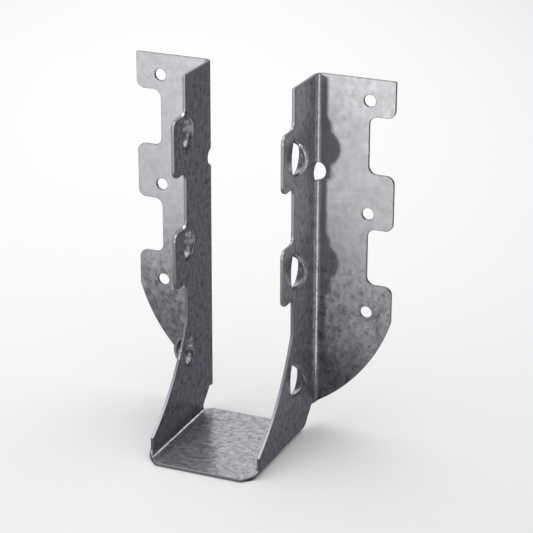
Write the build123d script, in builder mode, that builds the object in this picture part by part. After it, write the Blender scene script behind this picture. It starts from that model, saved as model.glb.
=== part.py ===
from build123d import *
import math
import os

# A face-mount joist hanger folded from one sheet, in millimetres.
# X runs across the joist. Y = 0 is the face of the header, and the joist lies on the -Y side.
# Z = 0 is the underside of the seat.

# Sheet and folds
sheet = 1.2
fold_radius = 1.5
fold_outside = fold_radius + sheet
fold_run = math.radians(90) * (fold_radius + sheet / 2)

# Pocket, for a joist 38 mm thick
pocket_width = 39.7
height = 132.4
seat_front = 58.0
seat_back = 8.5
wall_in = pocket_width / 2
wall_out = wall_in + sheet

# Walls: an upper strip with two tabs, then a curved front edge that widens down to the seat
wall_depth = 22.6
step_depth = 9.5
tab_height = 20.9
corner_radius = 3.0
shoulder_radius = 2.5
tip_radius = 0.6
curve_top = 42.5
curve_foot = 7.2
curve_foot_depth = 52.1
curve_radius = 71.8

# Domes that guide the slanted joist nails, higher on the left wall so that the nails pass
dome_pitch = 41.3
dome_heights = [25.0 + dome_pitch * row for row in range(3)]
tab_heights = dome_heights[1:]
dome_stagger = 3.8
dome_radius = 7.0
dome_sheet = 1.05
dome_sink = 1.0
dome_foot_slant = 0.45
dome_lip_slant = 0.85
slit_half = 7.25
slit_bulge = 2.2

# Flanges: two notches as deep as the tabs, and a curved wing below them
flange_reach = 49.5
flange_fold = wall_out + fold_radius
notch_lift = 0.95
notch_line = flange_reach - step_depth
wing_top = 43.6
wing_foot = 8.65
wing_radius = 62.8

# Nail holes into the header, on the notch line
nail_radius = 2.2
top_nail = 124.6
nail_heights = [46.1, top_nail - dome_pitch, top_nail]

# A round hole on each flange fold, punched in the flat sheet
fold_hole_height = 96.8
fold_hole_radius = 3.35
fold_hole_shift = 0.2
fold_hole_sections = 5
fold_hole_box = 2 * fold_hole_radius

# Relief cuts at both ends of the seat folds, at 45 degrees in the flat sheet
seat_fold = wall_in - fold_radius
heel_height = 7.5
heel_peak = 8.0
heel_depth = 4.6
heel_line = heel_depth + heel_peak
back_cut_depth = heel_line - fold_outside
front_relief = 16.4
front_cut_seat = seat_front - (seat_fold - front_relief)
front_cut_wall = front_cut_seat - fold_run
margin = 1.0
tool_reach = fold_outside + margin
dome_foot = dome_radius + margin


def outer_corner(vertices_of_sketch):
    """The corner of a flange's plan where the wall meets the header."""
    return vertices_of_sketch.group_by(Axis.X)[0].sort_by(Axis.Y)[-1]


# Seat, both walls and the folds between them
with BuildPart() as channel:
    with BuildSketch(Plane.XZ):
        Rectangle(2 * wall_out, height, align=(Align.CENTER, Align.MIN))
        fillet(vertices().group_by(Axis.Y)[0], fold_outside)
        with BuildSketch(mode=Mode.SUBTRACT):
            with Locations((0, sheet)):
                Rectangle(pocket_width, height, align=(Align.CENTER, Align.MIN))
            fillet(vertices().group_by(Axis.Y)[0], fold_radius)
    extrude(amount=seat_front)

    # Side view of the walls, from the seat's front edge round the back to the front curve
    with BuildSketch(Plane.YZ):
        with BuildLine():
            Polyline(
                (-seat_front, fold_outside),
                (-seat_front, 0),
                (-seat_back, 0),
                (-seat_back, heel_line - seat_back),
                (-heel_depth, heel_peak),
                (-fold_outside, heel_height),
                (-fold_outside, height),
                (-wall_depth, height),
                (-wall_depth, curve_top),
            )
            RadiusArc((-wall_depth, curve_top), (-curve_foot_depth, curve_foot), curve_radius)
            Polyline(
                (-curve_foot_depth, curve_foot),
                (-curve_foot_depth, fold_outside + front_cut_wall - curve_foot_depth),
                (-front_cut_wall, fold_outside),
                (-seat_front, fold_outside),
            )
        make_face()
        fillet(vertices().group_by(Axis.Y)[-1].sort_by(Axis.X)[0], tip_radius)
        with Locations(*[(-wall_depth, z) for z in tab_heights]):
            Rectangle(step_depth, tab_height, align=(Align.MAX, Align.CENTER))
        tab_zone = vertices().filter_by_position(Axis.Y, curve_top + margin, height - corner_radius)
        fillet(tab_zone.group_by(Axis.X)[0], corner_radius)
        tab_zone = vertices().filter_by_position(Axis.Y, curve_top + margin, height - corner_radius)
        fillet(tab_zone.group_by(Axis.X)[-1], shoulder_radius)
    extrude(amount=wall_out, both=True, mode=Mode.INTERSECT)

# The right flange with its fold
with BuildPart() as flange:
    with BuildSketch():
        with Locations((wall_in, 0)):
            Rectangle(flange_reach - wall_in, fold_outside, align=(Align.MIN, Align.MAX))
        fillet(outer_corner(vertices()), fold_outside)
        with BuildSketch(mode=Mode.SUBTRACT):
            with Locations((wall_out, -sheet)):
                Rectangle(flange_reach, fold_outside, align=(Align.MIN, Align.MAX))
            fillet(outer_corner(vertices()), fold_radius)
    extrude(amount=height)

    # Front view of the flange, from the fold out to its edge and back along the wing
    with BuildSketch(Plane.XZ):
        with BuildLine():
            Polyline(
                (flange_fold, wing_foot),
                (wall_out, heel_height),
                (wall_in, heel_height),
                (wall_in, height),
                (flange_reach, height),
                (flange_reach, wing_top),
            )
            RadiusArc((flange_reach, wing_top), (flange_fold, wing_foot), wing_radius)
        make_face()
        fillet(vertices().group_by(Axis.X)[-1].sort_by(Axis.Y)[-1], tip_radius)
        with Locations(*[(flange_reach, z + notch_lift) for z in tab_heights]):
            Rectangle(2 * step_depth, tab_height, mode=Mode.SUBTRACT)
        notch_zone = vertices().filter_by_position(Axis.Y, wing_top + margin, height - corner_radius)
        fillet(notch_zone, corner_radius)
        with Locations(*[(notch_line, z) for z in nail_heights]):
            Circle(nail_radius, mode=Mode.SUBTRACT)
    extrude(amount=fold_outside, mode=Mode.INTERSECT)


def dome_section(radius, wall_start, wall_end, slant):
    """Half the section of a ball that grows out of a flat wall, with a slant where they meet."""
    corner = (Align.MIN, Align.MIN)
    with BuildSketch() as section:
        Circle(radius)
        with Locations((wall_start, 0)):
            Rectangle(wall_end - wall_start, dome_foot, align=corner)
            Rectangle(dome_foot, dome_foot, align=corner, mode=Mode.INTERSECT)
        chamfer(vertices().group_by(Axis.X)[1].sort_by(Axis.Y)[0], slant)
    return section.sketch


# A dome is the back half of a hollow cap whose open rim faces the front
with BuildPart() as dome:
    add(dome_section(dome_radius, dome_sink, dome_sink + sheet, dome_foot_slant))
    revolve(axis=Axis.X)
    split(bisect_by=Plane.XZ, keep=Keep.BOTTOM)

# What a dome takes out of the wall: its hollow, and the curved slit in front of its rim
with BuildPart() as dome_hollow:
    add(dome_section(dome_radius - dome_sheet, dome_sink - margin, dome_sink, dome_lip_slant))
    revolve(axis=Axis.X)
    split(bisect_by=Plane.XZ, keep=Keep.BOTTOM)
    with BuildSketch(Plane.YZ):
        with BuildLine():
            SagittaArc((0, -slit_half), (0, slit_half), slit_bulge)
            Line((0, slit_half), (0, -slit_half))
        make_face()
    extrude(amount=dome_radius)

# The circle of a fold hole wraps round the fold, so the hole's wall is square to the sheet
wall_run = fold_run / 2 - fold_hole_shift
flange_run = fold_run / 2 + fold_hole_shift
fold_axis = (flange_fold, -fold_outside, fold_hole_height)
with BuildPart() as fold_hole:
    for section in range(fold_hole_sections):
        share = section / (fold_hole_sections - 1)
        half_height = math.sqrt(fold_hole_radius**2 - (fold_run * share - wall_run) ** 2)
        outward = Vector(-1, 0, 0).rotate(Axis.Z, -90 * share)
        along = Vector(0, 1, 0).rotate(Axis.Z, -90 * share)
        with BuildSketch(Plane(origin=fold_axis, x_dir=outward, z_dir=along)):
            with Locations((fold_radius - margin, 0)):
                Rectangle(sheet + 2 * margin, 2 * half_height, align=(Align.MIN, Align.CENTER))
    loft()
    with BuildSketch(Plane.YZ.offset(wall_in - margin)):
        with Locations((-fold_outside + wall_run, fold_hole_height)):
            Circle(fold_hole_radius)
        with Locations((-fold_outside, fold_hole_height)):
            wall_side = (Align.MAX, Align.CENTER)
            Rectangle(fold_hole_box, fold_hole_box, align=wall_side, mode=Mode.INTERSECT)
    extrude(amount=sheet + 2 * margin)
    with BuildSketch(Plane.XZ.offset(-margin)):
        with Locations((flange_fold - flange_run, fold_hole_height)):
            Circle(fold_hole_radius)
        with Locations((flange_fold, fold_hole_height)):
            flange_side = (Align.MIN, Align.CENTER)
            Rectangle(fold_hole_box, fold_hole_box, align=flange_side, mode=Mode.INTERSECT)
    extrude(amount=sheet + 2 * margin)

# The cut across a front corner: it turns with the fold, then runs on across the seat
cut_plane = Plane(origin=(seat_fold, -front_cut_wall, fold_outside), x_dir=(1, 0, 0), z_dir=(0, -1, 0))
with BuildSketch(cut_plane) as cut_section:
    Rectangle(tool_reach, tool_reach, align=(Align.MIN, Align.MIN))
cut_travel = cut_plane.z_dir * fold_run
cut_face = cut_section.sketch.face()
turning_cut = Solid.extrude_linear_with_rotation(cut_face, cut_plane.origin, cut_travel, -90)
with BuildPart() as front_cut:
    with BuildSketch():
        with BuildLine():
            Polyline(
                (front_relief - margin, -seat_front - margin),
                (seat_fold, -front_cut_seat),
                (seat_fold + tool_reach, -front_cut_seat),
                (seat_fold + tool_reach, -seat_front - margin),
                close=True,
            )
        make_face()
    extrude(amount=tool_reach)
    add(turning_cut)

# The notch between a wall's heel and the seat's back edge has its point in the fold
with BuildPart() as back_cut:
    with BuildSketch(Plane.YZ):
        with BuildLine():
            Polyline(
                (-heel_line - margin, -margin),
                (-seat_back + margin, -margin),
                (-seat_back + margin, heel_line - seat_back + margin),
                close=True,
            )
        make_face()
    extrude(amount=seat_fold + tool_reach)
    with BuildSketch(Plane.XY.offset(-margin)):
        with BuildLine():
            Polyline(
                (seat_fold - back_cut_depth + seat_back - margin, -seat_back + margin),
                (seat_fold + tool_reach, -seat_back + margin),
                (seat_fold + tool_reach, -back_cut_depth - tool_reach),
                close=True,
            )
        make_face()
    extrude(amount=heel_line, mode=Mode.INTERSECT)

right_domes = [(wall_in - dome_sink, -wall_depth, z) for z in dome_heights]
left_domes = [(-x, y, z + dome_stagger) for x, y, z in right_domes]
left_flange = mirror(flange.part, about=Plane.YZ)
left_dome = mirror(dome.part, about=Plane.YZ)
left_hollow = mirror(dome_hollow.part, about=Plane.YZ)
cuts = [fold_hole.part, front_cut.part, back_cut.part]
left_cuts = [mirror(cut, about=Plane.YZ) for cut in cuts]

# The whole hanger
with BuildPart() as hanger:
    add([channel.part, flange.part, left_flange])
    with Locations(*right_domes):
        add(dome.part)
        add(dome_hollow.part, mode=Mode.SUBTRACT)
    with Locations(*left_domes):
        add(left_dome)
        add(left_hollow, mode=Mode.SUBTRACT)
    add(cuts + left_cuts, mode=Mode.SUBTRACT)

os.makedirs("parts", exist_ok=True)
hanger.part.label = "hanger"
export_step(hanger.part, "parts/hanger.step")
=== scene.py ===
import math

import bmesh
import bpy
from mathutils import Matrix, Vector


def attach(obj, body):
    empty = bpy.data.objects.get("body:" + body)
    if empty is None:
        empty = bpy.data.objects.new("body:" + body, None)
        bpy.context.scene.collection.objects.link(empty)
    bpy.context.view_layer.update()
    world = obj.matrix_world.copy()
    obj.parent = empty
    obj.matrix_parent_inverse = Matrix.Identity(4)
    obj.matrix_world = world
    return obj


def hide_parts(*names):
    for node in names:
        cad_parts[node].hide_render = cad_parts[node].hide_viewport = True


MM = 0.001

# Joist hanger of hot-dip galvanised sheet steel. Its sizes follow the solid, in millimetres.
SHEET = 1.2
FOLD_RADIUS = 1.5
FOLD_OUTSIDE = FOLD_RADIUS + SHEET
FOLD_MIDDLE = FOLD_RADIUS + SHEET / 2
POCKET_WIDTH = 39.7
SEAT_FOLD = POCKET_WIDTH / 2 - FOLD_RADIUS
FLANGE_FOLD = POCKET_WIDTH / 2 + SHEET + FOLD_RADIUS
DOME_RADIUS = 7.0
DOME_SUNK = 1.0
DOME_SIDE = POCKET_WIDTH / 2 - DOME_SUNK
DOME_DEPTH = -22.6
DOME_HEIGHTS = (25.0, 66.3, 107.6)
LEFT_DOME_LIFT = 3.8

# Its mesh: points this near are merged, and faces this flat made one
DOUBLES_WITHIN = 0.002
FLAT_WITHIN = math.radians(0.3)
# Edges sharper than this angle, square in the solid, are rounded this much
EDGE_ANGLE = math.radians(50)
EDGE_ROUND = 0.22
# A face is a cut edge where less than this part of its normal points through the sheet
SHEARED_BELOW = 0.95

# The photograph's view: a long lens, from the right and above
PHOTO_SIDE = 533
FOCAL_PIXELS = 2111.4
VIEW_AZIMUTH = math.radians(23.31)
VIEW_ELEVATION = math.radians(21.30)
VIEW_ROLL = math.radians(0.137)
VIEW_DISTANCE = 744.8
VIEW_CENTRE = Vector((0, -20, 65))
VIEW_OFFSET = (8.82, -0.81)

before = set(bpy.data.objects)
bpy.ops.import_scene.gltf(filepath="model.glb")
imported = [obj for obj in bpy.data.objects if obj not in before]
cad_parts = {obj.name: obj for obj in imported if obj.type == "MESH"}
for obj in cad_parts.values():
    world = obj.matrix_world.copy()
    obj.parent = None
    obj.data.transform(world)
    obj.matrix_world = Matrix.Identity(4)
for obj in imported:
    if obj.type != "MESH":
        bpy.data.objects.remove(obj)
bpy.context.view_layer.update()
scene = bpy.context.scene
scene.view_settings.view_transform = "Standard"


def linear(colour):
    """An sRGB hex colour as the linear values that a shader wants."""
    values = [int(colour[i : i + 2], 16) / 255 for i in (1, 3, 5)]
    return [v / 12.92 if v <= 0.04045 else ((v + 0.055) / 1.055) ** 2.4 for v in values] + [1]


def node(tree, kind, inputs=(), **settings):
    """A node with its settings and its inputs, each a value, an output, or a node, which stands
    for its first output."""
    made = tree.nodes.new(kind)
    for name, value in settings.items():
        setattr(made, name, value)
    for name, value in dict(inputs).items():
        if isinstance(value, bpy.types.Node):
            value = value.outputs[0]
        if isinstance(value, bpy.types.NodeSocket):
            tree.links.new(value, made.inputs[name])
        else:
            made.inputs[name].default_value = value
    return made


# Camera
def view_axes():
    """The camera's right, up and backward directions."""
    back = Vector(
        (
            math.sin(VIEW_AZIMUTH) * math.cos(VIEW_ELEVATION),
            -math.cos(VIEW_AZIMUTH) * math.cos(VIEW_ELEVATION),
            math.sin(VIEW_ELEVATION),
        )
    )
    level = Vector((math.cos(VIEW_AZIMUTH), math.sin(VIEW_AZIMUTH), 0))
    upright = back.cross(level)
    right = math.cos(VIEW_ROLL) * level + math.sin(VIEW_ROLL) * upright
    up = -math.sin(VIEW_ROLL) * level + math.cos(VIEW_ROLL) * upright
    return right, up, back


def place_camera():
    """The camera at the photograph's angle, distance and field of view."""
    right, up, back = view_axes()
    place = VIEW_CENTRE + VIEW_DISTANCE * back + VIEW_OFFSET[0] * right + VIEW_OFFSET[1] * up
    lens = bpy.data.cameras.new("view")
    lens.sensor_width = 36
    lens.lens = FOCAL_PIXELS * lens.sensor_width / PHOTO_SIDE
    lens.clip_start = 0.01
    lens.clip_end = 50
    camera = bpy.data.objects.new("view", lens)
    turn = Matrix((right, up, back)).transposed()
    camera.matrix_world = Matrix.Translation(place * MM) @ turn.to_4x4()
    scene.collection.objects.link(camera)
    scene.camera = camera


place_camera()


# Finishes
def empty_material(name):
    """A material that has no nodes yet."""
    made = bpy.data.materials.new(name)
    made.use_nodes = True
    made.node_tree.nodes.clear()
    return made


# The zinc's colours: its specks, its darkest and its palest grey
SPECK_COLOUR = "#66656b"
ZINC_DARK = "#9a99a0"
ZINC_PALE = "#c2c1c6"
# Its smooth and its frosted part, which are mixed
SHEEN_ROUGHNESS = 0.23
FROST_ROUGHNESS = 0.57
# How many of a pattern's patches lie along a millimetre of the flat blank
CRYSTALS_PER_MM = 0.3
RAGS_PER_MM = 0.4
CLOUDS_PER_MM = 0.35
SPECKS_PER_MM = 0.45
GRAIN_PER_MM = (0.35, 0.6, 1)
# Over how many millimetres the crystals' borders are pulled about
CRYSTAL_RAGGED = 7
# How far each pattern leans the surface
CRYSTAL_LEAN = 0.035
CLOUD_LEAN = 0.02
GRAIN_LEAN = 0.05
# How strongly the specks, the crystals and the calm of the top show where they are fullest
SPECK_SHARE = 0.75
CRYSTAL_SHARE = 0.3
CALM_SHARE = 0.85
# Across the flat blank, in millimetres: the soft border where the flanges begin
FLANGE_BEGINS = (-2, 4)
# Along it, either way from the seat's middle: the soft border where their lower part ends
LOWER_PART_ENDS = (65, 95)


def galvanised_steel():
    """Hot-dip galvanised steel: a soft grey metal, part smooth and part frosted, broken up by zinc
    crystals, clouds and a fine grain that each lean a little."""
    skin = empty_material("hot_dip_galvanised_steel")
    tree = skin.node_tree
    blank = node(tree, "ShaderNodeAttribute", attribute_name="blank").outputs["Vector"]
    # Crystals 3 to 4 mm wide with ragged, soft borders
    ragged = node(tree, "ShaderNodeTexNoise", {"Vector": blank, "Scale": RAGS_PER_MM, "Detail": 4})
    warped = node(tree, "ShaderNodeVectorMath",
                  {0: ragged.outputs["Color"], 1: [CRYSTAL_RAGGED] * 3, 2: blank},
                  operation="MULTIPLY_ADD")
    crystals = node(tree, "ShaderNodeTexVoronoi",
                    {"Vector": warped, "Scale": CRYSTALS_PER_MM, "Smoothness": 0.4},
                    feature="SMOOTH_F1")
    # Clouds 2 to 4 mm wide
    clouds = node(tree, "ShaderNodeTexNoise",
                  {"Vector": blank, "Scale": CLOUDS_PER_MM, "Detail": 2})
    # Grain up to 3 mm long, drawn out a little along the strip. The real one is finer than a
    # pixel, so most of this one is as coarse as it needs to show.
    drawn = node(tree, "ShaderNodeMapping", {"Vector": blank, "Scale": GRAIN_PER_MM})
    grain = node(tree, "ShaderNodeTexNoise",
                 {"Vector": drawn, "Scale": 1.0, "Detail": 4, "Roughness": 0.65})
    # Every pattern runs from 0 to 1, so the surface first leans back by half of all they add
    normal = node(tree, "ShaderNodeNewGeometry").outputs["Normal"]
    level = [-(CRYSTAL_LEAN + CLOUD_LEAN + GRAIN_LEAN) / 2] * 3
    leaned = node(tree, "ShaderNodeVectorMath", {0: normal, 1: level}, operation="ADD")
    for pattern, lean in ((crystals, CRYSTAL_LEAN), (clouds, CLOUD_LEAN), (grain, GRAIN_LEAN)):
        leaned = node(tree, "ShaderNodeVectorMath",
                      {0: pattern.outputs["Color"], 1: [lean] * 3, 2: leaned},
                      operation="MULTIPLY_ADD")
    leaned = node(tree, "ShaderNodeVectorMath", {0: leaned}, operation="NORMALIZE")
    # The flanges, split into a lower and an upper part
    strip, across, _ = node(tree, "ShaderNodeSeparateXYZ", {0: blank}).outputs
    flange = node(tree, "ShaderNodeMapRange", {"Value": across, "From Min": FLANGE_BEGINS[0],
                                               "From Max": FLANGE_BEGINS[1]})
    far = node(tree, "ShaderNodeMath", {0: strip}, operation="ABSOLUTE")
    low = node(tree, "ShaderNodeMapRange", {"Value": far, "From Min": LOWER_PART_ENDS[1],
                                            "From Max": LOWER_PART_ENDS[0]})
    lower = node(tree, "ShaderNodeMath", {0: flange, 1: low}, operation="MULTIPLY")
    upper = node(tree, "ShaderNodeMath", {0: flange, 1: lower}, operation="SUBTRACT")
    # Tone: a lively grain on the walls and the seat, crystals low on the flanges, and a calm top
    shown = node(tree, "ShaderNodeMath", {0: lower, 1: CRYSTAL_SHARE}, operation="MULTIPLY")
    calm = node(tree, "ShaderNodeMath", {0: upper, 1: CALM_SHARE}, operation="MULTIPLY")
    shade = node(tree, "ShaderNodeMix",
                 {0: shown, 2: grain.outputs["Fac"], 3: crystals.outputs["Color"]},
                 data_type="FLOAT")
    shade = node(tree, "ShaderNodeMix", {0: calm, 2: shade, 3: 0.5}, data_type="FLOAT")
    shade = node(tree, "ShaderNodeMapRange", {"Value": shade, "From Min": 0.36, "From Max": 0.64})
    tone = node(tree, "ShaderNodeMix", {0: shade, 6: linear(ZINC_DARK), 7: linear(ZINC_PALE)},
                data_type="RGBA")
    # Dark specks 1 to 3 mm long, everywhere but high on the flanges
    dust = node(tree, "ShaderNodeTexNoise",
                {"Vector": blank, "Scale": SPECKS_PER_MM, "Detail": 4, "Roughness": 0.6})
    specks = node(tree, "ShaderNodeMapRange",
                  {"Value": dust.outputs["Fac"], "From Min": 0.52, "From Max": 0.66})
    share = node(tree, "ShaderNodeMath", {0: upper, 1: -SPECK_SHARE, 2: SPECK_SHARE},
                 operation="MULTIPLY_ADD")
    specks = node(tree, "ShaderNodeMath", {0: specks, 1: share}, operation="MULTIPLY")
    tone = node(tree, "ShaderNodeMix",
                {0: specks, 6: tone.outputs[2], 7: linear(SPECK_COLOUR)}, data_type="RGBA")
    # Frost in clouds. The walls and the seat, less weathered than the flanges, are smoother.
    frosting = node(tree, "ShaderNodeMapRange",
                    {"Value": clouds.outputs["Fac"], "From Min": 0.3, "From Max": 0.7,
                     "To Min": 0.46, "To Max": 0.6})
    weathered = node(tree, "ShaderNodeMapRange", {"Value": flange, "To Min": 0.45, "To Max": 1.0})
    frosting = node(tree, "ShaderNodeMath", {0: frosting, 1: weathered}, operation="MULTIPLY")
    sheen = node(tree, "ShaderNodeBsdfPrincipled",
                 {"Base Color": tone.outputs[2], "Metallic": 1.0, "Roughness": SHEEN_ROUGHNESS,
                  "Normal": leaned})
    frost = node(tree, "ShaderNodeBsdfPrincipled",
                 {"Base Color": tone.outputs[2], "Metallic": 1.0, "Roughness": FROST_ROUGHNESS,
                  "Normal": leaned})
    surface = node(tree, "ShaderNodeMixShader", {0: frosting, 1: sheen, 2: frost})
    node(tree, "ShaderNodeOutputMaterial", {"Surface": surface})
    return skin


# The bare steel's colours, and its shear marks to a millimetre
STEEL_DARK = "#6c6b70"
STEEL_PALE = "#87868b"
MARKS_PER_MM = 2


def sheared_steel():
    """Bare steel where the blank was cut: darker and rougher than the zinc, with shear marks."""
    cut = empty_material("sheared_steel_edge")
    tree = cut.node_tree
    place = node(tree, "ShaderNodeTexCoord").outputs["Object"]
    # Marks half a millimetre apart, drawn coarser than the real ones so that they show
    marks = node(tree, "ShaderNodeTexNoise",
                 {"Vector": place, "Scale": MARKS_PER_MM / MM, "Detail": 2})
    tone = node(tree, "ShaderNodeMix",
                {0: marks.outputs["Fac"], 6: linear(STEEL_DARK), 7: linear(STEEL_PALE)},
                data_type="RGBA")
    rough = node(tree, "ShaderNodeMapRange",
                 {"Value": marks.outputs["Fac"], "To Min": 0.45, "To Max": 0.6})
    surface = node(tree, "ShaderNodeBsdfPrincipled",
                   {"Base Color": tone.outputs[2], "Metallic": 1.0, "Roughness": rough})
    node(tree, "ShaderNodeOutputMaterial", {"Surface": surface})
    return cut


# Blank coordinates: where each point lies on the flat sheet before folding
def blank_tree():
    """Stores each point's place on the flat blank, in millimetres, so that the zinc's pattern
    runs round the folds: first along the strip, then across it."""
    tree = bpy.data.node_groups.new("flat_blank", "GeometryNodeTree")
    sockets = tree.interface
    sockets.new_socket("Geometry", in_out="INPUT", socket_type="NodeSocketGeometry")
    for name in ("Seat Fold", "Flange Fold", "Fold Outside", "Fold Middle"):
        sockets.new_socket(name, in_out="INPUT", socket_type="NodeSocketFloat")
    sockets.new_socket("Finish", in_out="INPUT", socket_type="NodeSocketMaterial")
    sockets.new_socket("Geometry", in_out="OUTPUT", socket_type="NodeSocketGeometry")
    given = node(tree, "NodeGroupInput").outputs
    place = node(tree, "GeometryNodeInputPosition")
    in_mm = node(tree, "ShaderNodeVectorMath", {0: place, "Scale": 1 / MM}, operation="SCALE")
    x, y, z = node(tree, "ShaderNodeSeparateXYZ", {0: in_mm}).outputs
    # Along the strip: half the seat, round its fold, then up the wall
    side = node(tree, "ShaderNodeMath", {0: x}, operation="ABSOLUTE")
    seat = node(tree, "ShaderNodeMath", {0: side, 1: given["Seat Fold"]}, operation="MINIMUM")
    past = node(tree, "ShaderNodeMath", {0: side, 1: seat}, operation="SUBTRACT")
    low = node(tree, "ShaderNodeMath", {0: z, 1: given["Fold Outside"]}, operation="MINIMUM")
    below = node(tree, "ShaderNodeMath", {0: given["Fold Outside"], 1: low}, operation="SUBTRACT")
    angle = node(tree, "ShaderNodeMath", {0: past, 1: below}, operation="ARCTAN2")
    wall = node(tree, "ShaderNodeMath", {0: z, 1: low}, operation="SUBTRACT")
    strip = node(tree, "ShaderNodeMath", {0: angle, 1: given["Fold Middle"], 2: seat},
                 operation="MULTIPLY_ADD")
    strip = node(tree, "ShaderNodeMath", {0: strip, 1: wall}, operation="ADD")
    hand = node(tree, "ShaderNodeMath", {0: x}, operation="SIGN")
    strip = node(tree, "ShaderNodeMath", {0: strip, 1: hand}, operation="MULTIPLY")
    # Across the strip: back along the wall, round the flange fold, then out along the flange
    depth = node(tree, "ShaderNodeMath", {0: y, 1: given["Fold Outside"]}, operation="ADD")
    ahead = node(tree, "ShaderNodeMath", {0: depth, 1: 0.0}, operation="MINIMUM")
    behind = node(tree, "ShaderNodeMath", {0: depth, 1: 0.0}, operation="MAXIMUM")
    near = node(tree, "ShaderNodeMath", {0: side, 1: given["Flange Fold"]}, operation="MINIMUM")
    inside = node(tree, "ShaderNodeMath", {0: given["Flange Fold"], 1: near}, operation="SUBTRACT")
    turn = node(tree, "ShaderNodeMath", {0: behind, 1: inside}, operation="ARCTAN2")
    flange = node(tree, "ShaderNodeMath", {0: side, 1: near}, operation="SUBTRACT")
    across = node(tree, "ShaderNodeMath", {0: turn, 1: given["Fold Middle"], 2: flange},
                  operation="MULTIPLY_ADD")
    across = node(tree, "ShaderNodeMath", {0: across, 1: ahead}, operation="ADD")
    blank = node(tree, "ShaderNodeCombineXYZ", {0: strip, 1: across})
    stored = node(tree, "GeometryNodeStoreNamedAttribute",
                  {"Geometry": given["Geometry"], "Name": "blank", "Value": blank},
                  data_type="FLOAT_VECTOR", domain="POINT")
    real = node(tree, "GeometryNodeRealizeInstances", {0: stored})
    finished = node(tree, "GeometryNodeSetMaterial", {0: real, "Material": given["Finish"]})
    node(tree, "NodeGroupOutput", {0: finished})
    return tree


def through_sheet(place):
    """The direction through the sheet's thickness at a place, in millimetres."""
    hand = math.copysign(1, place.x)
    if place.y > -FOLD_OUTSIDE:
        inside = max(FLANGE_FOLD - abs(place.x), 0)
        return Vector((hand * inside, -(place.y + FOLD_OUTSIDE), 0)).normalized()
    past = max(abs(place.x) - SEAT_FOLD, 0)
    below = max(FOLD_OUTSIDE - place.z, 0)
    return Vector((hand * past, 0, -below)).normalized()


def on_dome(place):
    """Whether a face at a place, in millimetres, is part of a dome, which is zinc to its rim."""
    side = math.copysign(DOME_SIDE, place.x)
    lift = LEFT_DOME_LIFT if side < 0 else 0
    spokes = [place - Vector((side, DOME_DEPTH, height + lift)) for height in DOME_HEIGHTS]
    return any(spoke.length < DOME_RADIUS + SHEET / 2 for spoke in spokes)


def clean_sheet():
    """A copy of the solid's mesh with its doubled points merged and its flat faces whole."""
    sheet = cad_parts["hanger"].data.copy()
    work = bmesh.new()
    work.from_mesh(sheet)
    bmesh.ops.remove_doubles(work, verts=work.verts, dist=DOUBLES_WITHIN * MM)
    bmesh.ops.dissolve_limit(work, angle_limit=FLAT_WITHIN, verts=work.verts, edges=work.edges)
    work.to_mesh(sheet)
    work.free()
    sheet.materials.clear()
    for polygon in sheet.polygons:
        polygon.use_smooth = True
    return sheet


def round_edges(raw):
    """Takes the sharpness off the hanger's cut edges."""
    rounded = raw.modifiers.new("rounded_edges", "BEVEL")
    rounded.limit_method = "ANGLE"
    rounded.angle_limit = EDGE_ANGLE
    rounded.width = EDGE_ROUND * MM
    rounded.segments = 2
    rounded.use_clamp_overlap = False


def galvanise(raw):
    """Gives the hanger its zinc, laid out on the flat blank."""
    tree = blank_tree()
    flat = raw.modifiers.new("flat_blank", "NODES")
    flat.node_group = tree
    sizes = {
        "Seat Fold": SEAT_FOLD,
        "Flange Fold": FLANGE_FOLD,
        "Fold Outside": FOLD_OUTSIDE,
        "Fold Middle": FOLD_MIDDLE,
        "Finish": galvanised_steel(),
    }
    for item in tree.interface.items_tree:
        if item.in_out == "INPUT" and item.name in sizes:
            flat[item.identifier] = sizes[item.name]


def bare_cut_edges(mesh):
    """Gives the faces that the shears left, between the sheet's two skins, their bare steel."""
    mesh.materials.append(sheared_steel())
    for polygon in mesh.polygons:
        place = polygon.center / MM
        through = abs(polygon.normal.dot(through_sheet(place)))
        if through < SHEARED_BELOW and not on_dome(place):
            polygon.material_index = 1


def pressed_hanger():
    """The whole hanger, its cut edges rounded, with its zinc and its bare sheared edges."""
    raw = bpy.data.objects.new("hanger_raw", clean_sheet())
    scene.collection.objects.link(raw)
    round_edges(raw)
    galvanise(raw)
    # Flat faces stay flat to the eye beside the rounded edges
    smooth = raw.modifiers.new("flat_faces", "WEIGHTED_NORMAL")
    smooth.keep_sharp = True
    bpy.context.view_layer.update()
    seen = raw.evaluated_get(bpy.context.evaluated_depsgraph_get())
    mesh = bpy.data.meshes.new_from_object(seen)
    mesh.name = "galvanised_hanger"
    bare_cut_edges(mesh)
    piece = bpy.data.objects.new("galvanised_hanger", mesh)
    scene.collection.objects.link(piece)
    bpy.data.objects.remove(raw)
    return piece


hanger = pressed_hanger()
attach(hanger, "root")
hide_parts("hanger")


# Floor and backdrop, in millimetres
FLOOR_REACH = 3000
FLOOR_HEIGHT = -0.02
# The paper's painted pool of light: its brightest place, and how far across and along the view its
# painted falloff takes to turn grey
FLOOR_PAINTED_LIGHT_CENTRE = Vector((-192, 299, 0))
FLOOR_PAINTED_LIGHT_FALLOFF = Vector((290, 632, 1))
FLOOR_PAINTED_LIGHT_CURVE = 2.2
FLOOR_PAINTED_LIT = "#fbfbfb"
FLOOR_PAINTED_FALLOFF_GREY = "#e5e5e5"


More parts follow.
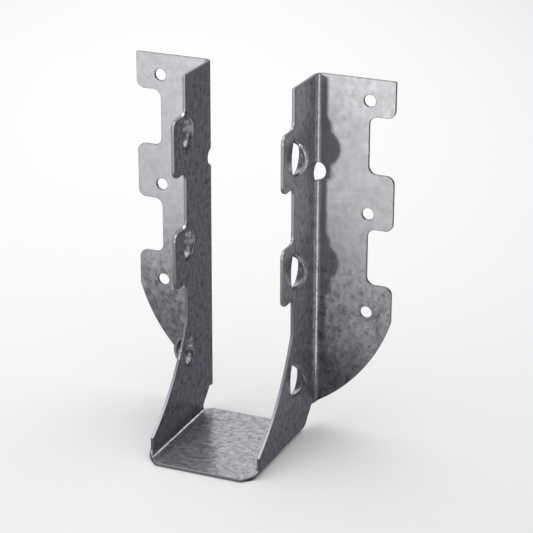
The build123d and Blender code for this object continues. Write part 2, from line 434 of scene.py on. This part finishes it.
def floor_with_painted_light():
    """Matt paper with a painted pool of light: nearly white at the back left, with a painted
    falloff to a pale grey round it.
    """
    made = empty_material("floor_paper_painted_light")
    tree = made.node_tree
    place = node(tree, "ShaderNodeTexCoord").outputs["Object"]
    spread = node(tree, "ShaderNodeMapping",
                  {"Vector": place, "Location": FLOOR_PAINTED_LIGHT_CENTRE * MM,
                   "Rotation": (0, 0, VIEW_AZIMUTH), "Scale": FLOOR_PAINTED_LIGHT_FALLOFF * MM},
                  vector_type="TEXTURE")
    far = node(tree, "ShaderNodeVectorMath", {0: spread}, operation="LENGTH").outputs["Value"]
    far = node(tree, "ShaderNodeMath", {0: far, 1: FLOOR_PAINTED_LIGHT_CURVE}, operation="POWER", use_clamp=True)
    # Painted light: the floor's colour runs from the painted bright centre out to the painted grey
    # falloff
    tone = node(tree, "ShaderNodeMix", {0: far, 6: linear(FLOOR_PAINTED_LIT), 7: linear(FLOOR_PAINTED_FALLOFF_GREY)},
                data_type="RGBA")
    surface = node(tree, "ShaderNodeBsdfDiffuse", {"Color": tone.outputs[2]})
    node(tree, "ShaderNodeOutputMaterial", {"Surface": surface})
    return made


def lying(outline, height):
    """The corners of a sheet that lies at a height, from its outline seen from above."""
    return [(*point, height) for point in outline]


def standing(start, end, top):
    """The corners of a sheet that stands on the line from start to end."""
    return [(*start, 0), (*end, 0), (*end, top), (*start, top)]


def stage_sheet(name, corners, paint):
    """A flat sheet of the studio through these corners, in millimetres."""
    mesh = bpy.data.meshes.new(name)
    mesh.from_pydata([Vector(corner) * MM for corner in corners], [], [range(len(corners))])
    mesh.materials.append(paint)
    sheet = bpy.data.objects.new(name, mesh)
    scene.collection.objects.link(sheet)
    return sheet


def card(name, corners, brightness, colour="#ffffff"):
    """An evenly bright card of the studio that only the metal's reflections show."""
    paint = empty_material(name)
    tree = paint.node_tree
    glow = node(tree, "ShaderNodeEmission", {"Color": linear(colour), "Strength": brightness})
    node(tree, "ShaderNodeOutputMaterial", {"Surface": glow})
    sheet = stage_sheet(name, corners, paint)
    sheet.visible_camera = False
    sheet.visible_diffuse = False
    sheet.visible_transmission = False
    sheet.visible_shadow = False


def flag(name, corners, paint):
    """A sheet of the studio that only keeps a lamp's light off what lies behind it."""
    sheet = stage_sheet(name, corners, paint)
    sheet.visible_camera = False
    sheet.visible_diffuse = False
    sheet.visible_glossy = False
    sheet.visible_transmission = False


# The floor carries a painted pool of light, not an even colour
painted_light_paper = floor_with_painted_light()
stage_sheet("floor", lying([(-FLOOR_REACH, -FLOOR_REACH), (FLOOR_REACH, -FLOOR_REACH),
                            (FLOOR_REACH, FLOOR_REACH), (-FLOOR_REACH, FLOOR_REACH)],
                           FLOOR_HEIGHT), painted_light_paper)

# Cards that the metal mirrors, placed for the tones that it shows
STUDIO = 900
# They lie on the floor in three layers, the small ones on the large ones
LOW_LAYER = 0.05
MIDDLE_LAYER = 0.1
TOP_LAYER = 0.15

card("grey_card", lying([(-STUDIO, -118), (330, -118), (64, -19), (64, 15), (STUDIO, 480),
                         (STUDIO, STUDIO), (-STUDIO, STUDIO)], LOW_LAYER),
     brightness=0.2, colour="#f5f2ff")
card("pale_card", lying([(-170, -STUDIO), (STUDIO, -STUDIO), (STUDIO, -330), (330, -118),
                         (-90, -118)], LOW_LAYER), brightness=0.4)
card("paler_card", lying([(-STUDIO, -STUDIO), (-170, -STUDIO), (-90, -118), (-STUDIO, -118)],
                         LOW_LAYER), brightness=0.8)
card("near_card", lying([(-60, -80), (24, -80), (24, -58.2), (-60, -58.2)], MIDDLE_LAYER),
     brightness=1.0)
# These two give the right flange's fold its highlight
card("fold_card", lying([(64, 32), (64, -32), (843, -578), (841, 732)], MIDDLE_LAYER),
     brightness=1.3)
card("fold_strip", lying([(66, -6), (65, -13), (706, -161), (723, -41)], TOP_LAYER),
     brightness=3.5)

# Cards that stand far round the hanger are dark, but for a bright one high behind it
card("dark_card_right", standing((STUDIO, -STUDIO), (STUDIO, STUDIO), 1500), brightness=0.05)
card("dark_card_left", standing((-STUDIO, -STUDIO), (-STUDIO, 500), 700), brightness=0.05)
card("dark_card_front", standing((-STUDIO, -STUDIO), (STUDIO, -STUDIO), 600), brightness=0.05)
card("dark_card_behind", [(-150, STUDIO, 0), (STUDIO, STUDIO, 0), (STUDIO, STUDIO, 1500),
                          (260, STUDIO, 1500), (260, STUDIO, 450), (-150, STUDIO, 450)],
     brightness=0.04)
card("bright_card_behind", [(-60, STUDIO, 440), (240, STUDIO, 440), (240, STUDIO, 650),
                            (-60, STUDIO, 650)], brightness=3.2)


def area_lamp(name, place, aim, size, power, colour="#ffffff"):
    """A square soft lamp at a place, turned to what it lights, in millimetres and watts."""
    data = bpy.data.lights.new(name, "AREA")
    data.energy = power
    data.size = size * MM
    data.color = linear(colour)[:3]
    lamp = bpy.data.objects.new(name, data)
    spot = Vector(place) * MM
    lamp.location = spot
    lamp.rotation_euler = (Vector(aim) * MM - spot).to_track_quat("-Z", "Y").to_euler()
    scene.collection.objects.link(lamp)
    return lamp


# The key and the overhead lamp light only the metal, and the floor has a lamp of its own
key = area_lamp("key", place=(-94, -711, 172), aim=(20, 0, 80), size=40, power=5.25,
                colour="#fffdf7")
key.visible_diffuse = False
flag("key_flag", [(-130, -450, 85), (10, -450, 85), (10, -450, 126), (-130, -450, 126)], painted_light_paper)
overhead = area_lamp("overhead", place=(-450, -240, 1090), aim=(0, 0, 60), size=650, power=12)
overhead.visible_diffuse = False
area_lamp("floor_light", place=(-150, 600, 2200), aim=(0, 0, 0), size=2400, power=13)


def studio_world():
    """A soft even light, and white wherever the camera or the metal looks past the floor."""
    world = bpy.data.worlds.new("studio")
    scene.world = world
    world.use_nodes = True
    tree = world.node_tree
    tree.nodes.clear()
    path = node(tree, "ShaderNodeLightPath").outputs
    seen = node(tree, "ShaderNodeMath", {0: path["Is Camera Ray"], 1: path["Is Glossy Ray"]},
                operation="MAXIMUM")
    seen = node(tree, "ShaderNodeMath", {0: seen, 1: path["Is Transmission Ray"]},
                operation="MAXIMUM")
    soft = node(tree, "ShaderNodeBackground", {"Color": linear("#ffffff"), "Strength": 0.84})
    white = node(tree, "ShaderNodeBackground", {"Color": linear("#f6f6f6"), "Strength": 1.0})
    shown = node(tree, "ShaderNodeMixShader", {0: seen, 1: soft, 2: white})
    node(tree, "ShaderNodeOutputWorld", {"Surface": shown})


studio_world()
